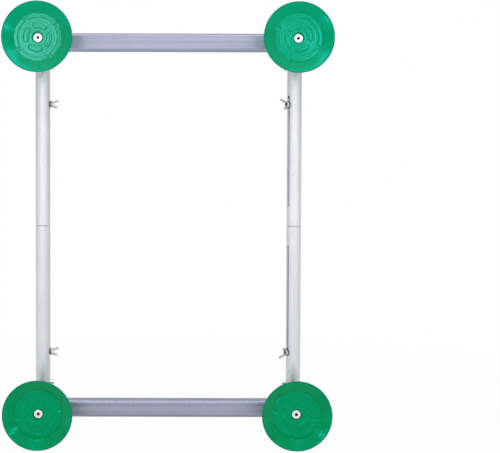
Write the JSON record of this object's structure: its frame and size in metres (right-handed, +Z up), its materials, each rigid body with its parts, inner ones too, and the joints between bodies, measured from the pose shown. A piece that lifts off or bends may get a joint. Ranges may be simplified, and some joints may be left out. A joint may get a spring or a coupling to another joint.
{
  "type": "suction cup panel carrier",
  "caption": "Rectangular panel carrier: two rails on telescopic slotted poles locked by wing nuts, with a green rubber suction cup at each corner for lifting flat screens.",
  "frame": {"origin": "the middle of the four cup lips, in the plane where they meet the panel, with the poles closed", "axes": "+X along the rails to the right as seen from the panel, +Y from the panel towards the carrier's back, +Z up the poles"},
  "size_m": [0.553, 0.0885, 0.7496],
  "materials": {
    "rail_aluminium": "satin anodised",
    "pole_aluminium": "satin drawn tube",
    "rod_aluminium": "bright drawn tube",
    "block_aluminium": "machined",
    "plated_steel": "bright plated",
    "zinc_steel": "bright zinc",
    "black_steel": "black oxide",
    "dark_steel": "grey phosphate",
    "cap_plastic": "fine matte grain",
    "cup_rubber": "glossy moulded"
  },
  "bodies": {
    "lower_carriage": {"bottom_rail": "rail_aluminium", "lower_left_end_cap": "cap_plastic", "lower_left_corner_block": "block_aluminium", "lower_left_neck": "plated_steel", "lower_left_sleeve": "pole_aluminium", "lower_left_sleeve_screw": "zinc_steel", "lower_left_spacer": "plated_steel", "lower_left_suction_cup": "cup_rubber", "lower_left_cup_screw": "zinc_steel", "lower_right_end_cap": "cap_plastic", "lower_right_corner_block": "block_aluminium", "lower_right_neck": "plated_steel", "lower_right_sleeve": "pole_aluminium", "lower_right_sleeve_screw": "zinc_steel", "lower_right_spacer": "plated_steel", "lower_right_suction_cup": "cup_rubber", "lower_right_cup_screw": "zinc_steel"},
    "upper_carriage": {"top_rail": "rail_aluminium", "upper_left_end_cap": "cap_plastic", "upper_left_corner_block": "block_aluminium", "upper_left_neck": "plated_steel", "upper_left_sleeve": "pole_aluminium", "upper_left_sleeve_screw": "zinc_steel", "upper_left_spacer": "plated_steel", "upper_left_suction_cup": "cup_rubber", "upper_left_cup_screw": "zinc_steel", "upper_right_end_cap": "cap_plastic", "upper_right_corner_block": "block_aluminium", "upper_right_neck": "plated_steel", "upper_right_sleeve": "pole_aluminium", "upper_right_sleeve_screw": "zinc_steel", "upper_right_spacer": "plated_steel", "upper_right_suction_cup": "cup_rubber", "upper_right_cup_screw": "zinc_steel"},
    "left_rod": {"left_inner_rod": "rod_aluminium", "upper_left_rod_plug": "block_aluminium", "upper_left_stud": "black_steel", "upper_left_stud_washer": "dark_steel", "lower_left_rod_plug": "block_aluminium", "lower_left_stud": "black_steel", "lower_left_stud_washer": "dark_steel"},
    "right_rod": {"right_inner_rod": "rod_aluminium", "upper_right_rod_plug": "block_aluminium", "upper_right_stud": "black_steel", "upper_right_stud_washer": "dark_steel", "lower_right_rod_plug": "block_aluminium", "lower_right_stud": "black_steel", "lower_right_stud_washer": "dark_steel"},
    "upper_left_wing_nut": {"upper_left_wing_nut": "zinc_steel"},
    "upper_right_wing_nut": {"upper_right_wing_nut": "zinc_steel"},
    "lower_left_wing_nut": {"lower_left_wing_nut": "zinc_steel"},
    "lower_right_wing_nut": {"lower_right_wing_nut": "zinc_steel"}
  },
  "joints": [
    {"name": "left_rod_slide", "type": "slide", "parent": "lower_carriage", "child": "left_rod", "axis": [0, 0, 1], "range_m": [0, 0.1825]},
    {"name": "right_rod_slide", "type": "slide", "parent": "lower_carriage", "child": "right_rod", "axis": [0, 0, 1], "range_m": [0, 0.1825]},
    {"name": "upper_carriage_slide", "type": "slide", "parent": "left_rod", "child": "upper_carriage", "axis": [0, 0, 1], "range_m": [0, 0.1735]},
    {"name": "upper_left_wing_nut_turn", "type": "hinge", "parent": "left_rod", "child": "upper_left_wing_nut", "pos_m": [-0.2175, 0.0735, 0.2099], "axis": [1, 0, 0], "continuous": true},
    {"name": "upper_right_wing_nut_turn", "type": "hinge", "parent": "right_rod", "child": "upper_right_wing_nut", "pos_m": [0.2175, 0.0735, 0.2099], "axis": [-0.866, -0.5, 0], "continuous": true},
    {"name": "lower_left_wing_nut_turn", "type": "hinge", "parent": "left_rod", "child": "lower_left_wing_nut", "pos_m": [-0.2175, 0.0735, -0.2189], "axis": [1, 0, 0], "continuous": true},
    {"name": "lower_right_wing_nut_turn", "type": "hinge", "parent": "right_rod", "child": "lower_right_wing_nut", "pos_m": [0.2175, 0.0735, -0.2189], "axis": [-0.866, -0.5, 0], "continuous": true}
  ],
  "couplings": [
    {"joint": "right_rod_slide", "follows": "left_rod_slide", "ratio": 1}
  ]
}
